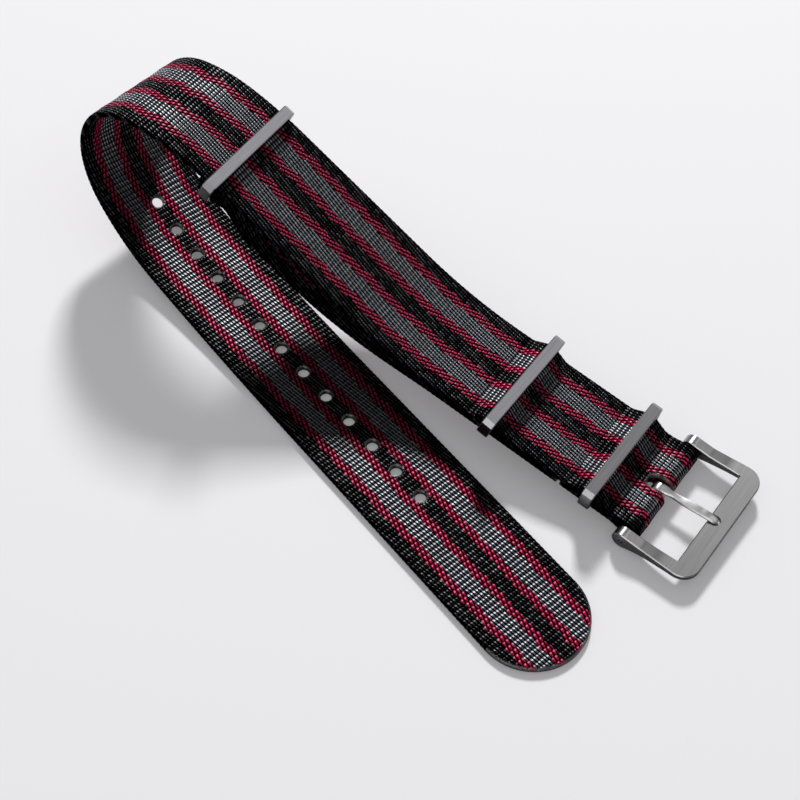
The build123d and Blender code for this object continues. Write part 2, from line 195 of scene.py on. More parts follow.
end_lean = HALF_WIDTH * np.sin(SKEW) * np.sin(np.radians(END_SLOPE))
bar_height = fold_radius + HALF + end_lean + FLOOR_CLEARANCE
headings = np.cumsum([0.0] + [turn for _, turn in BENDS])
descent_slope = headings[-1] - 180
landing_turn = descent_slope - END_SLOPE
cosines = np.cos(np.radians(headings))
loop_height = HALF + sum(radius * (cosines[i] - cosines[i + 1]) for i, (radius, _) in enumerate(BENDS))
slope, fall = np.radians(END_SLOPE), np.radians(descent_slope)
drop = loop_height - LANDING_RADIUS * (np.cos(slope) - np.cos(fall)) - end_run * np.sin(slope)
descent_run = (drop - bar_height - FLAT_LEVEL * np.cos(slope)) / np.sin(fall)
bend_lengths = [radius * np.radians(turn) for radius, turn in BENDS]
landing_length = LANDING_RADIUS * np.radians(landing_turn)
flat_run = STRAP_LENGTH * np.cos(SKEW) - sum(bend_lengths) - descent_run - landing_length - end_run

side_view = chain(
    (HALF_WIDTH * np.cos(SKEW) + LEAD, HALF),
    180.0,
    [(LEAD + flat_run,)]
    + [(radius, -turn) for radius, turn in BENDS]
    + [(descent_run,), (LANDING_RADIUS, landing_turn), (end_run + SPARE_RUN,)],
)
print("flat run", round(flat_run, 2), "mm, straight way down", round(descent_run, 2), "mm")

# %% [markdown]
# A strap that leaves the table at an angle bends round lines that are square to the side view, not
# to its own edges. So a point is named by its distance along and across the webbing, and that pair
# is turned through the skew before it is laid on the side view. Near the buckle and the end ring
# the folds are square to the edges instead, and a local frame takes over where the strap is flat.

# %% From webbing to space
NUDGE = 0.01


def laid(along, across, out):
    """Points in space for webbing that follows the side view, out from its middle layer."""
    reach = along * np.cos(SKEW) - across * np.sin(SKEW)
    place, normal = on_chain(side_view, reach + LEAD)
    place = place + normal * np.asarray(out)[..., None]
    sideways = (along - HALF_WIDTH) * np.sin(SKEW) + across * np.cos(SKEW)
    return np.stack([place[..., 0], sideways, place[..., 1]], -1)


def local_frame(along):
    """Origin, travel, across and outward of the webbing's middle line at a distance from the tip."""
    spots = laid(np.array([along, along + NUDGE, along]), np.array([0.0, 0.0, NUDGE]), np.zeros(3))
    travel, across = (spots[1] - spots[0]) / NUDGE, (spots[2] - spots[0]) / NUDGE
    return spots[0], travel, across, np.cross(travel, across)


def folded(place_frame, line, start, along, across, out):
    """Points in space for webbing that follows a chain square to its edges."""
    origin, travel, sideways, outward = place_frame
    place, normal = on_chain(line, along - start)
    place = place + normal * np.asarray(out)[..., None]
    return origin + place[..., :1] * travel + across[..., None] * sideways + place[..., 1:] * outward


_, travel, across_axis, outward = local_frame(STRAP_LENGTH - SPARE_RUN)
bar_point = laid(np.array([STRAP_LENGTH]), np.zeros(1), np.zeros(1))[0] - outward * FLAT_LEVEL
end_frame = (bar_point, travel, across_axis, outward)
print("buckle bar at", np.round(bar_point, 3), "mm")

# %% [markdown]
# From the second keeper to its hidden end the long strap is one chain, square to its own edges:
# pocket, weld, pocket, weld, the fold round the bar and the way back underneath. The last run goes
# on to a fixed place, so its length is known only when the rest of the chain has been laid.

# %% The fold round the buckle bar and the two pockets
hump = [(TURN_RADIUS, RAMP), (ramp_line,), (TURN_RADIUS, -2 * RAMP), (ramp_line,), (TURN_RADIUS, RAMP)]
fold_turn = 180 + FOLD_RISE + FOLD_RETURN
end_along = STRAP_LENGTH + second_keeper - hump_half
end_points, end_angles, end_lengths = chain(
    (second_keeper - hump_half, FLAT_LEVEL),
    0.0,
    [
        *hump,
        (KEEPER_SPACING - 2 * hump_half,),
        *hump,
        (WELD_WIDTH + CREASE_RUN,),
        (TURN_RADIUS, FOLD_RISE),
        (fold_line,),
        (fold_radius, -fold_turn),
        (return_line,),
        (TURN_RADIUS, FOLD_RETURN),
    ],
)
back_run = end_points[-1, 0] - return_end
end_line = (
    np.concatenate([end_points, [[return_end, end_points[-1, 1]]]]),
    np.append(end_angles, end_angles[-1]),
    np.append(end_lengths, end_lengths[-1] + back_run),
)
long_length = end_along + end_line[2][-1]


def long_place(along, across, out):
    """Where a point of the long strap lies, in millimetres."""
    near = folded(end_frame, end_line, end_along, along, across, out)
    return np.where((along < end_along)[..., None], laid(along, across, out), near)


print("long strap's webbing is", round(long_length, 1), "mm from tip to hidden end")

# %% [markdown]
# The second layer is a strap of its own. It starts hidden under the end ring, folds round the ring's
# lower bar and runs to the buckle under the long strap. Nothing holds it up between the ring and the
# keepers, so it hangs down there, most of all beside the ring. A cloth simulation could find that
# line, but one smooth curve gives the same hang and can be kept clear of the ring's bar.

# %% The short strap, which ends in a fold round the end ring
ring_along = (flat_run + sum(bend_lengths)) / np.cos(SKEW)
ring_frame = local_frame(ring_along + NUDGE)
carry_level = -(THICKNESS + RING_GAP)
ring_bar_level = carry_level - HALF - RING_CLEARANCE - BAND_THICKNESS / 2
ring_radius = carry_level - ring_bar_level
short_end = RING_OVERLAP + RING_SETBACK
ring_return_level = carry_level - THICKNESS - LAYER_GAP

ring_rise = np.radians(RING_RISE)
ring_climb = ring_return_level - (ring_bar_level - ring_radius)
ring_line = (ring_climb - 2 * TURN_RADIUS * (1 - np.cos(ring_rise))) / np.sin(ring_rise)
fold_centre = -RING_SETBACK - BAND_WIDTH / 2 + RING_TUCK
rise_start = -RING_SETBACK + BAND_WIDTH / 2 - RING_TUCK
rise_reach = 2 * TURN_RADIUS * np.sin(ring_rise) + ring_line * np.cos(ring_rise)
hidden_run = short_end - WELD_WIDTH - rise_start - rise_reach

ring_chain = chain(
    (short_end - WELD_WIDTH, ring_return_level),
    180.0,
    [(hidden_run,), (TURN_RADIUS, RING_RISE), (ring_line,), (TURN_RADIUS, -RING_RISE)]
    + [(rise_start - fold_centre,), (ring_radius, -180.0), (short_end - fold_centre,)],
)
ring_length = ring_chain[2][-1]
short_shift = ring_along + short_end - ring_length
short_length = ring_length + STRAP_LENGTH + return_end - BUTT_GAP - ring_along - short_end
carried = STRAP_LENGTH - end_run / np.cos(SKEW) - ring_along - short_end
print("short strap's webbing is", round(short_length, 1), "mm from hidden end to butt joint")

# %% [markdown]
# Two lengths decide where a point of the second layer lies: its place in the fold, and its distance
# from the end ring, which gives the hang. The fold goes down with the layer that it belongs to, or
# a step would show where the two meet.

# %% How the short strap hangs


def hang(reach):
    """How far the loose second layer hangs down at a distance from the end ring's bar."""
    reach = np.maximum(reach - SAG_START, 0)
    fade = np.clip((reach - SAG_FULL) / (SAG_END - SAG_FULL), 0, 1)
    return SAG * (1 - np.exp(-((reach / SAG_ONSET) ** 2))) * (0.5 + 0.5 * np.cos(np.pi * fade))


def short_place(along, across, out):
    """Where a point of the short strap lies, in millimetres. It hangs under the long one."""
    fold_reach = on_chain(ring_chain, along)[0][..., 0]
    sag = hang(RING_SETBACK + np.where(along < ring_length, fold_reach, along - ring_length + short_end))
    share = np.clip((carried - (along - ring_length)) / carried, 0, 1)
    drop = THICKNESS + LAYER_GAP + (RING_GAP - LAYER_GAP) * share + sag
    under = laid(along + short_shift, across, out - drop)
    near = folded(ring_frame, ring_chain, 0.0, along, across, out) - sag[..., None] * ring_frame[3]
    return np.where((along < ring_length)[..., None], near, under)


print("it hangs", round(float(np.max(hang(np.linspace(0, SAG_END, 500)))), 2), "mm down at most")

# %% [markdown]
# Webbing is a flat tape with two good faces, so each strap starts as a flat plan: a fine grid with
# rings of faces round each punched hole. A boolean cut would leave long thin faces there, while
# rings keep the mesh even and let the hole's melted rim be rounded.

# %% Holes in a flat grid
RIM = 0.2
CUT_ROOM = 0.15
STEPS_PER_HOLE = 27
PLAN_STEP = HOLE_PITCH / STEPS_PER_HOLE
COLUMN_COUNT = 79
COLUMNS = np.linspace(-(HALF_WIDTH - RIM), HALF_WIDTH - RIM, COLUMN_COUNT)
MIDDLE_COLUMN = COLUMN_COUNT // 2


def ring_of_faces(outer, inner):
    """Quads between two closed loops of point numbers that run the same way round."""
    return np.stack([outer, np.roll(outer, -1), np.roll(inner, -1), inner], 1)


def open_block(rows, number, kept, first, last, reach):
    """Takes a block of faces out of the grid, and gives the loop of points round it."""
    side = int(np.ceil((reach + CUT_ROOM) / (COLUMNS[1] - COLUMNS[0])))
    low = int(np.searchsorted(rows, first - reach - CUT_ROOM)) - 1
    high = int(np.searchsorted(rows, last + reach + CUT_ROOM))
    left, right = MIDDLE_COLUMN - side, MIDDLE_COLUMN + side
    kept[low:high, left:right] = False
    block = number[low : high + 1, left : right + 1]
    return np.concatenate([block[:-1, 0], block[-1, :-1], block[:0:-1, -1], block[0, :0:-1]])


print("plan step:", round(PLAN_STEP, 4), "mm along,", round(COLUMNS[1] - COLUMNS[0], 4), "mm across")

# %% [markdown]
# The tip is a half circle, cut and sealed with heat. Its points lie on rings round one centre, and each
# ring starts and ends on the grid's first row, so the round part and the straight part share points
# and no seam shows. A plan is then the grid, its cuts and its round tip in one list of faces.

# %% The round tip and the whole plan
TIP_STEPS = 97
RING_SHARES = (1 / 3, 2 / 3, 1.0)


def round_end(first_row, number, total):
    """Points and faces of the half circle before the first row, ring by ring from its centre."""
    angles = np.linspace(-np.pi / 2, np.pi / 2, TIP_STEPS)[1:-1]
    previous = np.full(len(angles) + 2, number[0, MIDDLE_COLUMN])
    points, faces = [], []
    for ring in range(1, MIDDLE_COLUMN + 1):
        radius = COLUMNS[MIDDLE_COLUMN + ring]
        points.append(np.stack([first_row - radius * np.cos(angles), radius * np.sin(angles)], 1))
        start, end = number[0, MIDDLE_COLUMN - ring], number[0, MIDDLE_COLUMN + ring]
        current = np.concatenate([[start], total + np.arange(len(angles)), [end]])
        total += len(angles)
        faces.append(np.stack([previous[:-1], previous[1:], current[1:], current[:-1]], 1))
        previous = current
    return points, faces


def flat_plan(rows, cuts, round_tip):
    """Points (along, across) and faces. A cut is (first core, last core, radius) on the middle line."""
    grid = np.stack(np.meshgrid(rows, COLUMNS, indexing="ij"), -1).reshape(-1, 2)
    number = np.arange(len(grid)).reshape(len(rows), COLUMN_COUNT)
    kept = np.ones((len(rows) - 1, COLUMN_COUNT - 1), bool)
    points, faces, total = [grid], [], len(grid)
    for first, last, radius in cuts:
        reach = radius + RIM
        loop = open_block(rows, number, kept, first, last, reach)
        spots = grid[loop]
        core = np.stack([np.clip(spots[:, 0], first, last), np.zeros(len(loop))], 1)
        away = spots - core
        rim = core + away / np.linalg.norm(away, axis=1, keepdims=True) * reach
        for share in RING_SHARES:
            points.append(spots + (rim - spots) * share)
            nearer = total + np.arange(len(loop))
            total += len(loop)
            faces.append(ring_of_faces(loop, nearer))
            loop = nearer
    corner = number[np.nonzero(kept)]
    faces.append(np.stack([corner, corner + COLUMN_COUNT, corner + COLUMN_COUNT + 1, corner + 1], 1))
    if round_tip:
        tip_points, tip_faces = round_end(rows[0], number, total)
        points += tip_points
        faces += tip_faces
    return np.concatenate(points), np.concatenate(faces)


print("the round tip has", MIDDLE_COLUMN, "rings of", TIP_STEPS - 1, "steps")

# %% [markdown]
# The weave is a warp rib: the threads that run along the strap float over the outside in rows about
# 1 mm long, and dive between the rows. Black and grey threads lie 0.57 mm apart and each row is
# shifted by a quarter of that. The red cords are thicker, 0.71 mm apart, and brick-like. The rows
# are real relief in the mesh. The single floats are finer than its faces, so the material adds them.

# %% Relief of the woven faces
ROW_PITCH = 1.01
FLOAT_PITCH, FLOAT_SHIFT, FLOAT_TILT = 0.575, 0.26, 0.3
CORD_PITCH, CORD_SHIFT, CORD_TILT = 0.71, 0.45, -0.2
CORD_LINES = (2.1, 6.75)
CORD_HALF, CORD_BLUR = 0.75, 0.12
ROW_RELIEF, RIB_BLUNTNESS, RIB_MEAN = 0.075, 0.7, 0.62
CORD_RELIEF, LUMP_MEAN, CORD_LIFT = 0.07, 0.4, 0.35
SLACK, RUMPLE, RUMPLE_FROM, RUMPLE_RUN = 0.02, 2.0, 228.0, 6.0

# Slow waves, each with its turn in radians per millimetre along and across
ROW_WAVES = ((0.035, 0.0, 2.3), (0.03, 0.35, 0.9))
SLACK_WAVES = ((0.71, 0.4), (0.23, -0.31))


def relief(along, across):
    """Height of the woven surface over its mean, in millimetres."""
    row = along / ROW_PITCH
    for drift, lengthways, sideways in ROW_WAVES:
        row = row + drift * np.sin(across * sideways + along * lengthways)
    rib = np.abs(np.sin(np.pi * row)) ** RIB_BLUNTNESS - RIB_MEAN
    cord_gap = np.min([np.abs(np.abs(across) - line) for line in CORD_LINES], 0)
    cord = np.clip((CORD_HALF + CORD_BLUR - cord_gap) / (2 * CORD_BLUR), 0, 1)
    lump = np.abs(np.sin(np.pi * (across / CORD_PITCH + CORD_SHIFT * np.floor(row)))) - LUMP_MEAN
    first, second = (np.sin(along * lengthways + across * sideways) for lengthways, sideways in SLACK_WAVES)
    rumple = 1 + RUMPLE * np.clip((along - RUMPLE_FROM) / RUMPLE_RUN, 0, 1)
    return ROW_RELIEF * rib + cord * CORD_RELIEF * (CORD_LIFT + lump) + SLACK * rumple * (first * second)


ridge, gap = relief(np.array([5.5, 6.0]) * ROW_PITCH, np.zeros(2))
print("a row stands", round(ridge - gap, 3), "mm above the gap beside it")

# %% [markdown]
# Nylon frays where it is cut, so tip, holes and slot are sealed with heat, which melts the threads
# into a thin smooth bead. The woven edges at the two sides aren't melted. So each point needs two
# distances: one to the nearest edge of any kind, and one to the nearest melted edge.

# %% Distances to the rims
LEAST_PUSH = 0.1


def rim_distances(along, across, length, cuts, round_tip):
    """Distance to the nearest edge, and to the nearest melted one, in millimetres."""
    side = HALF_WIDTH - np.abs(across)
    melted = length - along
    if round_tip:
        tip = HALF_WIDTH - np.hypot(along - HALF_WIDTH, across)
        side = np.where(along < HALF_WIDTH, np.minimum(side, tip), side)
        melted = np.where(along < HALF_WIDTH, np.minimum(melted, tip), melted)
    else:
        melted = np.minimum(melted, along)
    for first, last, radius in cuts:
        hole = np.hypot(along - np.clip(along, first, last), across) - radius
        melted = np.minimum(melted, hole)
    return np.minimum(side, melted), melted


def open_rim(plan, faces):
    """The plan's open edges as starts and ends, its rim points, and the way out at each of these."""
    count = len(plan)
    starts, ends = faces.ravel(), np.roll(faces, -1, 1).ravel()
    real = starts != ends
    starts, ends = starts[real], ends[real]
    open_edge = ~np.isin(starts * count + ends, ends * count + starts)
    starts, ends = starts[open_edge], ends[open_edge]
    run = plan[ends] - plan[starts]
    aside = np.stack([run[:, 1], -run[:, 0]], 1)
    aside /= np.linalg.norm(aside, axis=1, keepdims=True)
    push = np.zeros((count, 2))
    np.add.at(push, starts, aside)
    np.add.at(push, ends, aside)
    rim = np.unique(starts)
    push = push[rim] / np.maximum(np.linalg.norm(push[rim], axis=1, keepdims=True), LEAST_PUSH)
    return starts, ends, rim, push


side_distance, melted_distance = rim_distances(HALF_WIDTH, 0.0, long_length, [], True)
print("the tip's centre is", side_distance, "mm from the edge and", melted_distance, "mm from the melted rim")

# %% [markdown]
# A strap has two woven faces with a rounded edge between them, and the edge has three tiers of
# points, so it catches the light as a thread does. Where the webbing is pressed round a bar, its
# inner face lies flat: threads give way there, and a proud row would cut into the steel.

# %% Two faces and a rounded edge
MELT_START, MELT_WIDTH = 0.1, 0.34
BEAD, BEAD_IN, BEAD_SPREAD = 0.04, 0.28, 0.16
SHOULDER, SHOULDER_WIDTH = 0.09, 0.45
DENT_SHARE, PRESSED_LIFT, ROPE = 0.6, 0.03, 0.05
EDGE_TIERS = ((0.65, 0.66), (1.0, 0.0), (0.65, -0.66))


def woven_layers(plan, rim, push, distances, dents, pressed):
    """Outer face, edge tiers and inner face, as one list each of along, across, out and melt."""
    along, across = plan[:, 0], plan[:, 1]
    edge, melted = distances
    melt = np.clip(1 - (melted - MELT_START) / MELT_WIDTH, 0, 1)
    bead = BEAD * np.exp(-(((melted - BEAD_IN) / BEAD_SPREAD) ** 2))
    shoulder = SHOULDER * np.clip(1 - (edge - RIM) / SHOULDER_WIDTH, 0, 1) ** 2
    lift = (1 - melt) * relief(along, across) + bead - shoulder
    dent = sum(WELD_DEPTH * np.exp(-(((along - spot) / (WELD_WIDTH * DENT_SHARE)) ** 2)) for spot in dents)
    in_fold = (along > pressed[0]) & (along < pressed[1])
    inner = -(HALF + np.where(in_fold, np.minimum(lift, PRESSED_LIFT), lift))
    layers = [(along, across, HALF + lift - dent, melt)]
    rope = ROPE * np.cos(2 * np.pi * along[rim] / ROW_PITCH) * (1 - melt[rim])
    for aside_share, level in EDGE_TIERS:
        step = (RIM + rope) * aside_share
        spots = plan[rim] + push * step[:, None]
        layers.append((spots[:, 0], spots[:, 1], np.full(len(rim), level * HALF), melt[rim]))
    layers.append((along, across, inner, melt))
    return [np.concatenate(part) for part in zip(*layers)]


def woven_quads(faces, count, starts, ends, rim):
    """Quads of the two woven faces and of the strips that join them round the edge."""
    order = np.full(count, -1)
    order[rim] = np.arange(len(rim))
    bases = [count + tier * len(rim) for tier in range(len(EDGE_TIERS) + 1)]
    tiers = [rim, *(np.arange(len(rim)) + base for base in bases[:-1]), rim + bases[-1]]
    u, v = order[starts], order[ends]
    walls = [np.stack([above[v], above[u], below[u], below[v]], 1) for above, below in zip(tiers, tiers[1:])]
    return np.concatenate([faces, *walls, faces[:, ::-1] + bases[-1]])


print("the edge is", RIM, "mm wide, in", len(EDGE_TIERS), "tiers")

# %% [markdown]
# The mesh carries two things for the material at each point: its place in the webbing with how far
# it is melted, and the direction of the thread. UV maps could carry the first, but they stretch, and
# real millimetres along and across the cloth let every thread keep its true width.

# %% A strap from its plan
THREAD_STEP = 0.02


def woven_strap(name, rows, length, cuts, round_tip, place, dents, pressed):
    """A strap's mesh as an object. Between the two lengths in pressed its inner face is flat."""
    plan, faces = flat_plan(rows, cuts, round_tip)
    used, faces = np.unique(faces, return_inverse=True)
    plan, faces = plan[used], faces.reshape(-1, 4)
    starts, ends, rim, push = open_rim(plan, faces)
    distances = rim_distances(plan[:, 0], plan[:, 1], length, cuts, round_tip)
    along, across, out, melt = woven_layers(plan, rim, push, distances, dents, pressed)
    quads = woven_quads(faces, len(plan), starts, ends, rim)

    spots = place(along, across, out)
    run = place(along + THREAD_STEP, across, out) - spots
    run /= np.linalg.norm(run, axis=1, keepdims=True)
    spots[:, 2] = np.maximum(spots[:, 2], 0.0)
    mesh = bpy.data.meshes.new(name)
    mesh.from_pydata((spots * MM).tolist(), [], [list(dict.fromkeys(quad)) for quad in quads.tolist()])
    mesh.shade_smooth()
    for title, values in (("weave", np.stack([along, across, melt], 1)), ("run", run)):
        stored = mesh.attributes.new(title, "FLOAT_VECTOR", "POINT")
        stored.data.foreach_set("vector", values.astype(np.float32).ravel())
    mesh.validate()
    strap = bpy.data.objects.new(name, mesh)
    scene.collection.objects.link(strap)
    print(name, "has", len(mesh.polygons), "faces")
    return strap


def even_rows(start, end):
    """Rows from start to end, about a plan step apart."""
    return np.linspace(start, end, int((end - start) / PLAN_STEP) + 1)


print("each row of floats has", round(ROW_PITCH / PLAN_STEP, 1), "plan steps")

# %% [markdown]
# The long strap has a melted round tip, thirteen punched size holes and the slot that lets the
# tongue reach the buckle bar. Its weld lines press a groove into the webbing beside each pocket.
# The grid's rows are spaced to the holes' pitch, so every hole is cut in the same way.

# %% Weave the long strap
STEPS_BEFORE_HOLE = 7

bar_passed = end_line[2][np.argmax(end_line[0][:, 0])]
on_top, underneath = end_line[2] < bar_passed, end_line[2] > bar_passed


def top_along(reach):
    """Distance along the webbing where its top layer passes a reach from the bar."""
    return end_along + np.interp(reach, end_line[0][on_top, 0], end_line[2][on_top])


slot_start = top_along(-SLOT_REACH)
slot_end = end_along + np.interp(SLOT_REACH, -end_line[0][underneath, 0], end_line[2][underneath])
holes = [FIRST_HOLE + k * HOLE_PITCH for k in range(HOLE_COUNT)]
cuts = [(hole, hole, HOLE_RADIUS) for hole in holes]
cuts.append((slot_start + SLOT_RADIUS, slot_end - SLOT_RADIUS, SLOT_RADIUS))
welds = [fold_crease, first_keeper - hump_half]
welds += [second_keeper + hump_half + WELD_WIDTH, second_keeper - hump_half]

hole_zone_steps = STEPS_PER_HOLE * (HOLE_COUNT - 1) + 2 * STEPS_BEFORE_HOLE
hole_zone = FIRST_HOLE - STEPS_BEFORE_HOLE * PLAN_STEP + PLAN_STEP * np.arange(hole_zone_steps + 1)
before, after = even_rows(HALF_WIDTH, hole_zone[0]), even_rows(hole_zone[-1], long_length - RIM)
long_strap = woven_strap(
    "woven_long_strap",
    np.concatenate([before[:-1], hole_zone, after[1:]]),
    long_length,
    cuts,
    True,
    long_place,
    [top_along(reach - WELD_WIDTH / 2) for reach in welds],
    (top_along(fold_crease), long_length),
)
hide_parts("long_strap")
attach(long_strap, "strap")

# %% [markdown]
# The short strap is the same webbing without holes, cut square and melted at both ends. It could be
# drawn as one body with the long strap, but the real ones are two lengths with a gap between them
# that shows at the edge, so it has a mesh of its own.

# %% Weave the short strap
PRESSED_PAST_RING = 2.0

short_strap = woven_strap(
    "woven_short_strap",
    even_rows(RIM, short_length - RIM),
    short_length,
    [],
    False,
    short_place,
    [],
    (0.0, ring_length + PRESSED_PAST_RING),
)
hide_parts("short_strap")
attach(short_strap, "strap")

# %% [markdown]
# The webbing is woven nylon yarn: bundles of fine shiny filaments. Each float is a small smooth
# bulge with a dark gap beside it. Filaments side by side act like scratches and throw the light out
# in a fan square to their own run, so the cloth shines only where the eye is in that fan. An image
# could carry the pattern, but nodes that count rows and threads in millimetres stay sharp at any
# distance, and they let each whole float take one colour, as in real cloth.

# %% Rows of floats in the nylon
# The weave's places are in millimetres, so this noise has waves of about 2 mm
WOBBLE, WOBBLE_SCALE = 0.3, 0.45
TAPER = 1.7

nylon, cloth = new_material("woven_nylon_yarn")
place = add_node(cloth, "ShaderNodeAttribute", attribute_name="weave", attribute_type="GEOMETRY")
place = place.outputs["Vector"]
along, across, melt = add_node(cloth, "ShaderNodeSeparateXYZ", {0: place}).outputs
rows = add_node(cloth, "ShaderNodeMath", {0: along, 1: ROW_PITCH}, operation="DIVIDE")
wobble = add_node(cloth, "ShaderNodeTexNoise", {"Vector": place, "Scale": WOBBLE_SCALE, "Detail": 1.0})
wobble = add_node(cloth, "ShaderNodeMath", {0: wobble, 1: WOBBLE, 2: -WOBBLE / 2}, operation="MULTIPLY_ADD")
rows = add_node(cloth, "ShaderNodeMath", {0: rows, 1: wobble}, operation="ADD")
row = add_node(cloth, "ShaderNodeMath", {0: rows}, operation="FLOOR")
down_row = add_node(cloth, "ShaderNodeMath", {0: rows}, operation="FRACT")
taper = add_node(cloth, "ShaderNodeMapRange", {0: down_row, 3: TAPER, 4: 1.0})
print("rows are", ROW_PITCH, "mm long and wander by", WOBBLE / 2, "of a row")

# %% [markdown]
# Plain threads and red cords have their own pitch, and each row starts a little to one side of the
# row before. For both kinds the nodes find the float that a point is on, how high it stands there,
# the streak on its lit flank, and a spot near its end where a highlight is painted in.

# %% One float: bulge, streak and painted highlight
BULGE_ACROSS, BULGE_ALONG = 2.2, 4.0
STREAK_START, STREAK_FULL = 0.3, 0.56
HIGHLIGHT_ACROSS, HIGHLIGHT_WIDE, HIGHLIGHT_ALONG, HIGHLIGHT_LONG = 0.6, 0.4, 0.8, 0.3

bulges, centres, cells, painted_highlights, streaks = [], [], [], [], []
kinds = ((FLOAT_PITCH, FLOAT_SHIFT, FLOAT_TILT), (CORD_PITCH, CORD_SHIFT, CORD_TILT))
for pitch, shift, tilt in kinds:
    slant = add_node(cloth, "ShaderNodeMath", {0: down_row, 1: tilt}, operation="MULTIPLY")
    moved = add_node(cloth, "ShaderNodeMath", {0: row, 1: shift, 2: slant}, operation="MULTIPLY_ADD")
    lines = add_node(cloth, "ShaderNodeMath", {0: across, 1: 1 / pitch, 2: moved}, operation="MULTIPLY_ADD")
    line = add_node(cloth, "ShaderNodeMath", {0: lines}, operation="FLOOR")
    over = add_node(cloth, "ShaderNodeMath", {0: lines}, operation="FRACT")
    centre = add_node(cloth, "ShaderNodeMath", {0: line, 1: moved}, operation="SUBTRACT")
    centre = add_node(cloth, "ShaderNodeMath", {0: centre, 1: pitch, 2: pitch / 2}, operation="MULTIPLY_ADD")
    centres.append(centre)
    cells.append(add_node(cloth, "ShaderNodeCombineXYZ", {0: row, 1: line}))

    bulge = 1.0
    for share, power, weight in ((over, BULGE_ACROSS, taper), (down_row, BULGE_ALONG, 1.0)):
        fall = add_node(cloth, "ShaderNodeMath", {0: share, 1: 2.0, 2: -1.0}, operation="MULTIPLY_ADD")
        fall = add_node(cloth, "ShaderNodeMath", {0: fall}, operation="ABSOLUTE")
        fall = add_node(cloth, "ShaderNodeMath", {0: fall, 1: power}, operation="POWER")
        fall = add_node(cloth, "ShaderNodeMath", {0: fall, 1: weight}, operation="MULTIPLY")
        bulge = add_node(cloth, "ShaderNodeMath", {0: bulge, 1: fall}, operation="SUBTRACT")
    bulges.append(add_node(cloth, "ShaderNodeMath", {0: bulge, 1: 0.0}, operation="MAXIMUM"))

    limits = {0: over, 1: STREAK_START, 2: STREAK_FULL}
    streaks.append(add_node(cloth, "ShaderNodeMapRange", limits, interpolation_type="SMOOTHSTEP"))
    # Where the float's painted highlight sits, near its end on the lit flank
    spread = 0.0
    for share, spot, reach in ((over, HIGHLIGHT_ACROSS, HIGHLIGHT_WIDE), (down_row, HIGHLIGHT_ALONG, HIGHLIGHT_LONG)):
        inputs = {0: share, 1: 1 / reach, 2: -spot / reach}
        off = add_node(cloth, "ShaderNodeMath", inputs, operation="MULTIPLY_ADD")
        spread = add_node(cloth, "ShaderNodeMath", {0: off, 1: off, 2: spread}, operation="MULTIPLY_ADD")
    limits = {0: spread, 1: 1.0, 2: 0.0}
    painted_highlights.append(add_node(cloth, "ShaderNodeMapRange", limits, interpolation_type="SMOOTHSTEP"))
print("floats are", FLOAT_PITCH, "mm apart, cords", CORD_PITCH, "mm")

# %% [markdown]
# The stripes are warp threads of three colours, so a border can't cut through a thread. The red
# cords have jagged borders from row to row, and a plain thread is black or grey by the place of its
# own middle. Each float also gets one chance number, because no two catch the light alike.

# %% Stripes by whole floats
STRIPE_JAG = 0.44
GREY_MIDDLE, GREY_HALF = sum(CORD_LINES) / 2, (CORD_LINES[1] - CORD_LINES[0]) / 2

from_middle = add_node(cloth, "ShaderNodeMath", {0: across}, operation="ABSOLUTE")
off_edge = add_node(cloth, "ShaderNodeMath", {0: HALF_WIDTH, 1: from_middle}, operation="SUBTRACT")
jag = add_node(cloth, "ShaderNodeTexWhiteNoise", {"W": row}, noise_dimensions="1D").outputs["Value"]
jag = add_node(cloth, "ShaderNodeMath", {0: jag, 1: STRIPE_JAG, 2: -STRIPE_JAG / 2}, operation="MULTIPLY_ADD")
jagged = add_node(cloth, "ShaderNodeMath", {0: from_middle, 1: jag}, operation="ADD")
reds = []
for cord_line in CORD_LINES:
    off = add_node(cloth, "ShaderNodeMath", {0: jagged, 1: cord_line}, operation="SUBTRACT")
    off = add_node(cloth, "ShaderNodeMath", {0: off}, operation="ABSOLUTE")
    reds.append(add_node(cloth, "ShaderNodeMath", {0: off, 1: CORD_HALF}, operation="LESS_THAN"))
red = add_node(cloth, "ShaderNodeMath", {0: reds[0], 1: reds[1]}, operation="MAXIMUM")
off = add_node(cloth, "ShaderNodeMath", {0: centres[0]}, operation="ABSOLUTE")
off = add_node(cloth, "ShaderNodeMath", {0: off, 1: GREY_MIDDLE}, operation="SUBTRACT")
off = add_node(cloth, "ShaderNodeMath", {0: off}, operation="ABSOLUTE")
grey = add_node(cloth, "ShaderNodeMath", {0: off, 1: GREY_HALF}, operation="LESS_THAN")

mixes = []
for plain, corded in (bulges, painted_highlights, streaks):
    mixes.append(add_node(cloth, "ShaderNodeMix", {0: red, 2: plain, 3: corded}))
bulge, painted_highlight, streak = mixes
cell = add_node(cloth, "ShaderNodeMix", {0: red, 4: cells[0], 5: cells[1]}, data_type="VECTOR").outputs[1]
chance = add_node(cloth, "ShaderNodeTexWhiteNoise", {0: cell}, noise_dimensions="3D")
print("grey bands are", 2 * GREY_HALF - 2 * CORD_HALF, "mm wide between cords of", 2 * CORD_HALF, "mm")

# %% [markdown]
# A float has three tones: painted shade in the gap beside it, its dyed face, and a painted highlight
# at its head. A plain mix of one tone with noise would look printed. The painted highlights are rare
# on black threads and common on grey and red ones, and they fade at the strap's edges, where the
# threads turn down. Each row is also painted darker at its start and lighter at its end.

# %% The colour of each float
# Painted highlight colours, which stand in for the glint at each float's head
PAINTED_HIGHLIGHT_BLACK, PAINTED_HIGHLIGHT_SLATE, PAINTED_HIGHLIGHT_RED = "#44474e", "#b4b9c2", "#d63c6c"
BLACK, SLATE, CORD_RED = "#050508", "#464b55", "#a60f3c"
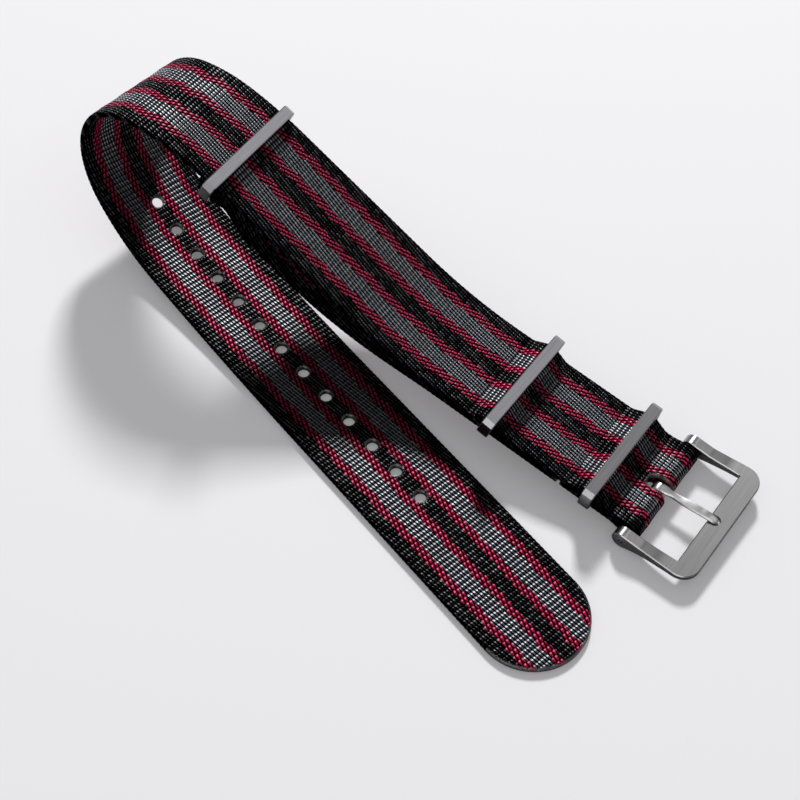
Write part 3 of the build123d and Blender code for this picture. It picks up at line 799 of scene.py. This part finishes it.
# Painted shade colours for the gap beside each float, where shade falls between the threads
PAINTED_SHADE_BLACK, PAINTED_SHADE_SLATE, PAINTED_SHADE_RED = "#010102", "#030408", "#1c010a"
GAP_TOP, FACE_START = 0.15, 0.8
RARITY, OFTEN_LEAST = 2.2, 0.5
EDGE_DARK, EDGE_CLEAR, EDGE_SHINE = 0.15, 0.7, 0.15
# Each row is painted darker at its start and lighter at its end. MELT_SHADE is the darker tone of melted
# rims.
PAINTED_SHADE_ROW_START, PAINTED_LIGHT_ROW_END, MELT_SHADE = 0.4, 1.15, 0.3

tints = []
for black, slate, cord in (
    (PAINTED_HIGHLIGHT_BLACK, PAINTED_HIGHLIGHT_SLATE, PAINTED_HIGHLIGHT_RED),
    (BLACK, SLATE, CORD_RED),
    (PAINTED_SHADE_BLACK, PAINTED_SHADE_SLATE, PAINTED_SHADE_RED),
):
    tint = add_node(cloth, "ShaderNodeMix", {0: grey, 6: linear(black), 7: linear(slate)}, data_type="RGBA")
    tint = add_node(cloth, "ShaderNodeMix", {0: red, 6: tint.outputs[2], 7: linear(cord)}, data_type="RGBA")
    tints.append(tint.outputs[2])
painted_highlight_tint, face_tint, painted_shade_tint = tints
# Low on the bulge, down in the gap, the colour turns to painted shade
limits = {0: bulge, 1: GAP_TOP, 2: FACE_START}
depth = add_node(cloth, "ShaderNodeMapRange", limits, interpolation_type="SMOOTHSTEP")
yarn = add_node(cloth, "ShaderNodeMix", {0: depth, 6: painted_shade_tint, 7: face_tint}, data_type="RGBA")

rare = add_node(cloth, "ShaderNodeMath", {0: chance, 1: RARITY}, operation="POWER")
often = add_node(cloth, "ShaderNodeMapRange", {0: chance, 3: OFTEN_LEAST, 4: 1.0})
coloured = add_node(cloth, "ShaderNodeMath", {0: grey, 1: red}, operation="MAXIMUM")
lively = add_node(cloth, "ShaderNodeMix", {0: coloured, 2: rare, 3: often})
dim = add_node(cloth, "ShaderNodeMapRange", {0: off_edge, 1: EDGE_DARK, 2: EDGE_CLEAR, 3: EDGE_SHINE, 4: 1.0})
# The painted highlight goes over the yarn's colour, rarer on black threads and fading at the edges
shine = add_node(cloth, "ShaderNodeMath", {0: lively, 1: dim}, operation="MULTIPLY")
shine = add_node(cloth, "ShaderNodeMath", {0: painted_highlight, 1: shine}, operation="MULTIPLY")
yarn = add_node(cloth, "ShaderNodeMix", {0: shine, 6: yarn.outputs[2], 7: painted_highlight_tint}, data_type="RGBA")
# Painted shade at the start of each row and painted light at its end, where the glints sit
shade = add_node(cloth, "ShaderNodeMapRange", {0: down_row, 3: PAINTED_SHADE_ROW_START, 4: PAINTED_LIGHT_ROW_END})
yarn_lit_along_row = add_node(cloth, "ShaderNodeVectorMath", {0: yarn.outputs[2], "Scale": shade}, operation="SCALE")
darker = add_node(cloth, "ShaderNodeVectorMath", {0: face_tint, "Scale": MELT_SHADE}, operation="SCALE")
colour = add_node(cloth, "ShaderNodeMix", {0: melt, 6: yarn_lit_along_row, 7: darker}, data_type="RGBA")
print("face colours:", BLACK, SLATE, CORD_RED)

# %% [markdown]
# Gloss is where nylon gives itself away. It is stretched square to the thread and kept to a streak
# on each float, full on grey, half on black and less on red, while melted rims are glossy all over.
# Nylon's own IOR is about 1.53. It is raised here, with the streaks kept narrow, to give glints
# nearly as bright as on the real cloth.

# %% Gloss, relief and the finished nylon
NYLON_IOR, NYLON_ROUGHNESS, NYLON_STRETCH = 1.68, 0.36, 0.9
SMOOTHER, ROUGHER = 0.05, 0.08
DULLEST, BLACK_GLOSS, RED_GLOSS = 0.15, 0.5, 0.3
FLOAT_RELIEF = 0.14
SQUARE_TO_RUN = 0.25

woven = add_node(cloth, "ShaderNodeMath", {0: 1.0, 1: melt}, operation="SUBTRACT")
height = add_node(cloth, "ShaderNodeMath", {0: bulge, 1: woven}, operation="MULTIPLY")
bump = add_node(cloth, "ShaderNodeBump", {"Height": height, "Distance": FLOAT_RELIEF * MM, "Strength": 1.0})
limits = {0: chance, 3: NYLON_ROUGHNESS - SMOOTHER, 4: NYLON_ROUGHNESS + ROUGHER}
rough = add_node(cloth, "ShaderNodeMapRange", limits)
lively = add_node(cloth, "ShaderNodeMapRange", {0: lively, 3: DULLEST, 4: 1.0})
dyed = add_node(cloth, "ShaderNodeMapRange", {0: grey, 3: BLACK_GLOSS, 4: 1.0})
dyed = add_node(cloth, "ShaderNodeMix", {0: red, 2: dyed, 3: RED_GLOSS})
mirror = streak
for factor in (depth, dim, lively, dyed):
    mirror = add_node(cloth, "ShaderNodeMath", {0: mirror, 1: factor}, operation="MULTIPLY")
mirror = add_node(cloth, "ShaderNodeMath", {0: mirror, 1: melt}, operation="MAXIMUM")
run = add_node(cloth, "ShaderNodeAttribute", attribute_name="run", attribute_type="GEOMETRY")
inputs = {0: run.outputs["Vector"]}
run = add_node(cloth, "ShaderNodeVectorTransform", inputs, convert_from="OBJECT", convert_to="WORLD")
finish = {
    "Base Color": colour.outputs[2],
    "Roughness": rough,
    "Normal": bump,
    "IOR": NYLON_IOR,
    "Specular IOR Level": mirror,
    "Anisotropic": NYLON_STRETCH,
    "Anisotropic Rotation": SQUARE_TO_RUN,
    "Tangent": run,
}
surface = add_node(cloth, "ShaderNodeBsdfPrincipled", finish)
add_node(cloth, "ShaderNodeOutputMaterial", {"Surface": surface})
for strap in (long_strap, short_strap):
    strap.data.materials.append(nylon)
print(nylon.name, "has", len(cloth.nodes), "nodes")

# %% [markdown]
# The tongue is one forged piece: a round eye on the bar, a thin neck, a blade and an end that drops
# into the notch. Its solid is faceted, so it is drawn again here as a smooth skin through the same
# sections, with a crowned eye that reads as a ball in the slot.

# %% The tongue's sizes and a smooth skin
EYE_BORE, EYE_WALL, EYE_WIDTH, EYE_CROWN = 0.8, 0.7, 1.75, 0.4
BORE_SHARE, CROWN_BLUNTNESS = 0.8, 0.7
WINDOW_REACH, NOTCH_LENGTH, TIP_GAP = 9.85, 2.15, 0.4
NOTCH_FLOOR, REST_GAP, TONGUE_WIDTH, TONGUE_THICKNESS, ROOT_LEVEL = 0.65, 0.08, 1.75, 0.95, 0.45
TONGUE_ROOT, NOSE_SHARE, NOSE_LEAST, FLANK_BLUNTNESS = 0.35, 0.05, 0.02, 0.85
REACHES = [0.0, 0.09, 0.2, 0.32, 0.46, 0.68, 0.88, 1.0]
RISES = [1.0, 0.88, 0.76, 0.8, 0.92, 1.05, 1.0, 0.66]
WIDTHS = [1.08, 0.96, 0.7, 0.82, 0.97, 1.0, 0.88, 0.62]
DEPTHS = [0.84, 0.98, 1.05, 1.0, 1.0, 1.0, 0.95, 0.4]

level_turn = np.radians(END_SLOPE)
forward = travel * np.cos(level_turn) + outward * np.sin(level_turn)
upward = outward * np.cos(level_turn) - travel * np.sin(level_turn)


def eased(values, at):
    """A smooth curve through values at the tongue's reaches."""
    slopes = np.gradient(values, REACHES)
    spot = np.clip(np.searchsorted(REACHES, at, side="right") - 1, 0, len(REACHES) - 2)
    low, gap = np.array(REACHES)[spot], np.diff(REACHES)[spot]
    share = (at - low) / gap
    ease = share * share * (3 - 2 * share)
    bow = share * (1 - share) * gap * (slopes[spot] * (1 - share) - slopes[spot + 1] * share)
    return np.array(values)[spot] * (1 - ease) + np.array(values)[spot + 1] * ease + bow


def skinned(name, loops, capped):
    """A smooth mesh through closed loops of points (reach, across, up) in millimetres."""
    count = len(loops[0])
    spots = np.concatenate(loops)
    spots = bar_point + spots[:, :1] * forward + spots[:, 1:2] * across_axis + spots[:, 2:] * upward
    numbers = np.arange(len(spots)).reshape(-1, count)
    shapes = []
    for outer, inner in zip(numbers, numbers[1:]):
        shapes += ring_of_faces(outer, inner).tolist()
    if capped:
        shapes += [numbers[0].tolist(), numbers[-1][::-1].tolist()]
    mesh = bpy.data.meshes.new(name)
    mesh.from_pydata((spots * MM).tolist(), [], shapes)
    mesh.shade_smooth()
    piece = bpy.data.objects.new(name, mesh)
    scene.collection.objects.link(piece)
    print(name, "has", len(shapes), "faces")
    return piece


print("the tongue's neck is", round(TONGUE_WIDTH * min(WIDTHS[1:5]), 2), "mm wide")

# %% [markdown]
# The blade's sections are stations along it, each with its height, width and depth as a share of
# the full blade, and the last ones close quickly for a round nose. The eye is a barrel turned round
# the bar. Both could be cut from one block, but two skins that overlap in the neck stay smooth.

# %% Tongue
BLADE_SIDES, EYE_SIDES, CROWN_STEPS = 32, 48, 15
STATIONS = np.concatenate([np.linspace(0, 1 - NOSE_SHARE, 58), [0.97, 0.985, 0.995, 1.0]])

about = np.linspace(0, 2 * np.pi, BLADE_SIDES, endpoint=False)
flank = np.sign(np.cos(about)) * np.abs(np.cos(about)) ** FLANK_BLUNTNESS
blade_end = WINDOW_REACH + NOTCH_LENGTH - TIP_GAP
blade_level = NOTCH_FLOOR + REST_GAP + TONGUE_THICKNESS / 2
sections = []
for share in STATIONS:
    in_nose = share > 1 - NOSE_SHARE
    nose = np.sqrt(np.clip((1.0 - share) / NOSE_SHARE, NOSE_LEAST, 1)) if in_nose else 1.0
    level = ROOT_LEVEL + (blade_level - ROOT_LEVEL) * eased(RISES, share)
    side = TONGUE_WIDTH / 2 * eased(WIDTHS, share) * nose * flank
    thick = TONGUE_THICKNESS / 2 * eased(DEPTHS, share) * nose * np.sin(about)
    reach = np.full(BLADE_SIDES, TONGUE_ROOT + (blade_end - TONGUE_ROOT) * share)
    sections.append(np.stack([reach, side, level + thick], 1))
tongue_blade = skinned("tongue_blade", sections, True)

eye_half = EYE_WIDTH / 2
profile = [(EYE_BORE, -eye_half * BORE_SHARE), (EYE_BORE, eye_half * BORE_SHARE)]
for turn in np.linspace(np.pi / 2, -np.pi / 2, CROWN_STEPS):
    wall = EYE_WALL - EYE_CROWN + EYE_CROWN * np.cos(turn) ** CROWN_BLUNTNESS
    profile.append((EYE_BORE + wall, eye_half * np.sin(turn)))
profile.append(profile[0])
about = np.linspace(0, 2 * np.pi, EYE_SIDES, endpoint=False)
eye_loops = [
    np.stack([radius * np.cos(about), np.full(EYE_SIDES, side), radius * np.sin(about)], 1)
    for radius, side in profile
]
tongue_eye = skinned("tongue_eye", eye_loops, False)
for piece in (tongue_blade, tongue_eye):
    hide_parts("buckle_tongue")
    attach(piece, "tongue")
print("tongue reaches", blade_end, "mm from the bar")

# %% [markdown]
# The buckle and rings are stainless steel with a brushed finish: fine parallel scratches that turn
# each highlight into a band across them. They run along the rings' bars and the buckle's front bar,
# and lengthwise on its arms and tongue. So the material spreads the gloss square to the scratches,
# and a stretched noise in real millimetres draws the scratches that the eye can make out.

# %% Brushed steel
# Real scratches are a few hundredths of a millimetre apart. These are coarser, or none would show.
SCRATCH_PITCH, SCRATCH_LENGTH, SCRATCH_DEPTH = 0.13, 12.0, 0.002
NOISE_LOW, NOISE_HIGH, SCRATCH_DARK, SCRATCH_LIGHT = 0.3, 0.7, 0.84, 1.1
TURN_HALF, LEAN = 1.5, 0.2


def scratches(tree, parts, turned):
    """Noise drawn out lengthwise, or across where turned is 1, from three distances in millimetres."""
    fine, slow = 1 / SCRATCH_PITCH, 1 / SCRATCH_LENGTH
    grain = []
    for scales in ((slow, fine, fine), (fine, slow, fine)):
        spot = [
            add_node(tree, "ShaderNodeMath", {0: part, 1: scale}, operation="MULTIPLY")
            for part, scale in zip(parts, scales)
        ]
        spot = add_node(tree, "ShaderNodeCombineXYZ", dict(enumerate(spot)))
        noise = {"Vector": spot, "Scale": 1.0, "Detail": 3.0, "Roughness": 0.6}
        grain.append(add_node(tree, "ShaderNodeTexNoise", noise))
    return add_node(tree, "ShaderNodeMix", {0: turned, 2: grain[0], 3: grain[1]})


def brushed_steel(name, tint, roughness, stretch, turn_at):
    """Brushed stainless steel. Past turn_at, in mm along the buckle, the scratches run across it."""
    material, tree = new_material(name)
    place = add_node(tree, "ShaderNodeTexCoord").outputs["Object"]
    parts = []
    for axis in (forward, across_axis, upward):
        inputs = {0: place, 1: tuple(axis / MM)}
        part = add_node(tree, "ShaderNodeVectorMath", inputs, operation="DOT_PRODUCT")
        parts.append(part.outputs["Value"])
    limits = {0: parts[0], 1: turn_at - TURN_HALF, 2: turn_at + TURN_HALF}
    turned = add_node(tree, "ShaderNodeMapRange", limits, interpolation_type="SMOOTHSTEP")
    lines = scratches(tree, parts, turned)
    grooves = {"Height": lines, "Distance": SCRATCH_DEPTH * MM, "Strength": 1.0}
    bump = add_node(tree, "ShaderNodeBump", grooves)
    limits = {0: lines, 1: NOISE_LOW, 2: NOISE_HIGH, 3: SCRATCH_DARK, 4: SCRATCH_LIGHT}
    shade = add_node(tree, "ShaderNodeMapRange", limits)
    colour = add_node(tree, "ShaderNodeVectorMath", {0: linear(tint)[:3], "Scale": shade}, operation="SCALE")
    # Both directions lean upward a little. On a face square to one of them, the lean is what is left.
    lengthwise, crosswise = tuple(forward + LEAN * upward), tuple(LEAN * upward - across_axis)
    run = add_node(tree, "ShaderNodeMix", {0: turned, 4: lengthwise, 5: crosswise}, data_type="VECTOR")
    inputs = {0: run.outputs[1]}
    run = add_node(tree, "ShaderNodeVectorTransform", inputs, convert_from="OBJECT", convert_to="WORLD")
    finish = {
        "Base Color": colour,
        "Metallic": 1.0,
        "Roughness": roughness,
        "Anisotropic": stretch,
        "Anisotropic Rotation": SQUARE_TO_RUN,
        "Tangent": run,
        "Normal": bump,
    }
    steel = add_node(tree, "ShaderNodeBsdfPrincipled", finish)
    add_node(tree, "ShaderNodeOutputMaterial", {"Surface": steel})
    print(name, "has", len(tree.nodes), "nodes")
    return material


# %% [markdown]
# All the steel is one kind, brushed in three ways. The buckle's scratches turn at its front bar,
# the tongue's run lengthwise, and the rings' run along their bars, which is across the strap. Each
# way has its own tint and roughness, matched to its piece: the rings are the darkest. So the tints
# are painted light and shade on one steel: the tongue is painted paler and the rings darker.

# %% Steel for each piece
FRONT_BAR_WIDTH = 3.0
NEVER, FROM_THE_START = 1000.0, -1000.0

front_bar = float(bar_point @ forward) + WINDOW_REACH - FRONT_BAR_WIDTH
# The tints per piece are painted light and shade: the same steel, paler on the tongue, darker on the rings
frame_steel = brushed_steel("brushed_steel_buckle", "#9c9b9b", 0.27, 0.4, front_bar)
tongue_steel = brushed_steel("brushed_steel_lengthwise", "#c0c0c0", 0.36, 0.8, NEVER)
ring_steel = brushed_steel("brushed_steel_crosswise", "#8a8a8d", 0.24, 0.5, FROM_THE_START)
finishes = {
    "buckle_frame": frame_steel,
    "buckle_bar": ring_steel,
    "first_keeper": ring_steel,
    "second_keeper": ring_steel,
    "end_ring": ring_steel,
}
for node, steel in finishes.items():
    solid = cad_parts[node]
    solid.data.materials.clear()
    solid.data.materials.append(steel)
    print(node, "is", steel.name)
for piece in (tongue_blade, tongue_eye):
    piece.data.materials.append(tongue_steel)

# %% [markdown]
# The table is a flat pale matt board with a fine grain. A brighter lamp would make it white, but it
# would wash out the strap too. So for the camera alone the board has a darker colour and a little
# light of its own, less of it in corners and under the strap, which is painted shade there, and open
# floor comes out pale while the shadow stays deep.

# %% Table
BOARD_ROUGHNESS = 0.8
BOARD_DARK, BOARD_LIGHT, BOARD_SEEN, BOARD_GLOW = "#e7e6e8", "#edecee", "#c0bfc1", "#fcfbfd"
PAINTED_SHADE_REACH, PAINTED_SHADE_GLOW, OPEN_GLOW = 0.03, 0.16, 0.345

# Noise cells for each metre of board, which makes the grain about 1.1 mm
BOARD_GRAIN_SCALE = 900.0

board, matt = new_material("pale_matt_board")
ground = add_node(matt, "ShaderNodeTexCoord").outputs["Object"]
grain = add_node(matt, "ShaderNodeTexNoise", {"Vector": ground, "Scale": BOARD_GRAIN_SCALE, "Detail": 2.0})
inputs = {0: grain, 6: linear(BOARD_DARK), 7: linear(BOARD_LIGHT)}
tone = add_node(matt, "ShaderNodeMix", inputs, data_type="RGBA").outputs[2]
seen = add_node(matt, "ShaderNodeLightPath").outputs["Is Camera Ray"]
tone = add_node(matt, "ShaderNodeMix", {0: seen, 6: tone, 7: linear(BOARD_SEEN)}, data_type="RGBA")
# Near and under the strap the board's own light drops, a painted shade
open_air = add_node(matt, "ShaderNodeAmbientOcclusion", {"Distance": PAINTED_SHADE_REACH}, samples=8).outputs["AO"]
lifted = add_node(matt, "ShaderNodeMapRange", {0: open_air, 3: PAINTED_SHADE_GLOW, 4: OPEN_GLOW})
lifted = add_node(matt, "ShaderNodeMath", {0: seen, 1: lifted}, operation="MULTIPLY")
finish = {
    "Base Color": tone.outputs[2],
    "Roughness": BOARD_ROUGHNESS,
    "Emission Color": linear(BOARD_GLOW),
    "Emission Strength": lifted,
}
surface = add_node(matt, "ShaderNodeBsdfPrincipled", finish)
add_node(matt, "ShaderNodeOutputMaterial", {"Surface": surface})

# %% [markdown]
# The board is a flat disc far wider than the picture, so no edge shows from the photo's side. One
# plane of four corners would do, but its far corners would stand out in a low view from behind.

# %% The board itself, in metres
TABLE_RADII = [0.0, 0.05, 0.15, 0.4, 0.9, 1.6]
TABLE_SIDES, TABLE_X, TABLE_Y = 48, -0.04, 0.016
about = np.linspace(0, 2 * np.pi, TABLE_SIDES, endpoint=False)
spots, shapes = [], []
for radius in TABLE_RADII:
    spots += [(radius * np.cos(turn) + TABLE_X, radius * np.sin(turn) + TABLE_Y, 0.0) for turn in about]
numbers = np.arange(len(spots)).reshape(-1, TABLE_SIDES)
for inner, outer in zip(numbers, numbers[1:]):
    shapes += ring_of_faces(outer, inner).tolist()
table_mesh = bpy.data.meshes.new("table_board")
table_mesh.from_pydata(spots, [], shapes)
table = bpy.data.objects.new("table_board", table_mesh)
scene.collection.objects.link(table)
table.data.materials.append(board)
print("table", 2 * TABLE_RADII[-1], "m across")

# %% [markdown]
# One soft lamp stands low behind the strap and throws the shadow towards the viewer, which is what
# makes the threads glint. Round it is a pale studio with two bright cards for the steel to mirror.
# More lamps would fill the shadows and flatten the weave, so the studio shows in gloss only: to
# cloth and table it gives a little even light, and the camera sees a plain pale backdrop.

# %% Lamp and sky
LAMP_DIRECTION, LAMP_DISTANCE, LAMP_SIZE, LAMP_WATTS = (-0.505, 0.63, 0.59), 2.6, 0.38, 92.0
LIT_POINT = Vector((-0.045, 0.016, 0.0))
SKY_TINT = "#f6f5f7"
SKY_LEVEL, SOFT_LEVEL, BACKDROP_LEVEL = 0.3, 0.1, 0.86
# Each card: its direction, the cosines where it begins and is full, and the light that it adds
CARDS = [((0.425, 0.425, 0.8), 0.86, 0.98, 1.0), ((0.25, -0.79, 0.56), 0.84, 0.94, 1.9)]

light = bpy.data.lights.new("low_back_softbox", "AREA")
light.size, light.energy = LAMP_SIZE, LAMP_WATTS
softbox = bpy.data.objects.new("low_back_softbox", light)
toward = Vector(LAMP_DIRECTION).normalized()
softbox.location = LIT_POINT + toward * LAMP_DISTANCE
softbox.rotation_euler = toward.to_track_quat("Z", "Y").to_euler()
scene.collection.objects.link(softbox)

sky = bpy.data.worlds.new("pale_studio")
sky.use_nodes = True
studio = sky.node_tree
studio.nodes.clear()
aim = add_node(studio, "ShaderNodeTexCoord").outputs["Generated"]
level = SKY_LEVEL
for direction, rim, full, more in CARDS:
    near = add_node(studio, "ShaderNodeVectorMath", {0: aim, 1: direction}, operation="DOT_PRODUCT")
    limits = {0: near.outputs["Value"], 1: rim, 2: full, 3: 0.0, 4: more}
    card = add_node(studio, "ShaderNodeMapRange", limits, interpolation_type="SMOOTHSTEP")
    level = add_node(studio, "ShaderNodeMath", {0: card, 1: level}, operation="ADD")
path = add_node(studio, "ShaderNodeLightPath").outputs
level = add_node(studio, "ShaderNodeMix", {0: path["Is Glossy Ray"], 2: SOFT_LEVEL, 3: level})
level = add_node(studio, "ShaderNodeMix", {0: path["Is Camera Ray"], 2: level, 3: BACKDROP_LEVEL})
glow = add_node(studio, "ShaderNodeBackground", {"Color": linear(SKY_TINT), "Strength": level})
add_node(studio, "ShaderNodeOutputWorld", {"Surface": glow})
scene.world = sky
# The sky differs by the kind of ray, which a bounced ray knows and a sample taken as from a lamp doesn't
sky.cycles.sampling_method = "NONE"
print("lamp:", light.name, LAMP_WATTS, "W, cards:", len(CARDS))

# %% [markdown]
# The camera stands where the photo was taken from: 291 mm away and 55 degrees up, with the tip and
# the buckle both turned towards it. A camera further off with a longer lens would show the same
# strap flatter, so the distance is kept and the lens is fitted to it.

# %% Camera
AZIMUTH, ELEVATION, ROLL, DISTANCE, LENS, SENSOR = 41.46, 55.45, 2.72, 291.38, 73.15, 36.0
TARGET = Vector((-45.131, 15.979, 0.6))

around, above, roll = (np.radians(angle) for angle in (AZIMUTH, ELEVATION, ROLL))
right = Vector((np.cos(around), np.sin(around), 0))
up = Vector((-np.sin(around) * np.sin(above), np.cos(around) * np.sin(above), np.cos(above)))
back_axis = right.cross(up)
rolled_right = right * np.cos(roll) + up * np.sin(roll)
rolled_up = up * np.cos(roll) - right * np.sin(roll)
lens = bpy.data.cameras.new("view")
lens.lens, lens.sensor_width = LENS, SENSOR
lens.clip_start, lens.clip_end = 0.01, 10.0
camera = bpy.data.objects.new("view", lens)
axes = Matrix((rolled_right, rolled_up, back_axis)).transposed().to_4x4()
camera.matrix_world = Matrix.Translation((TARGET + back_axis * DISTANCE) * MM) @ axes
scene.collection.objects.link(camera)
scene.camera = camera
scene.view_settings.view_transform = "Standard"
print("camera is", round(camera.location.length / MM), "mm from the row's origin")
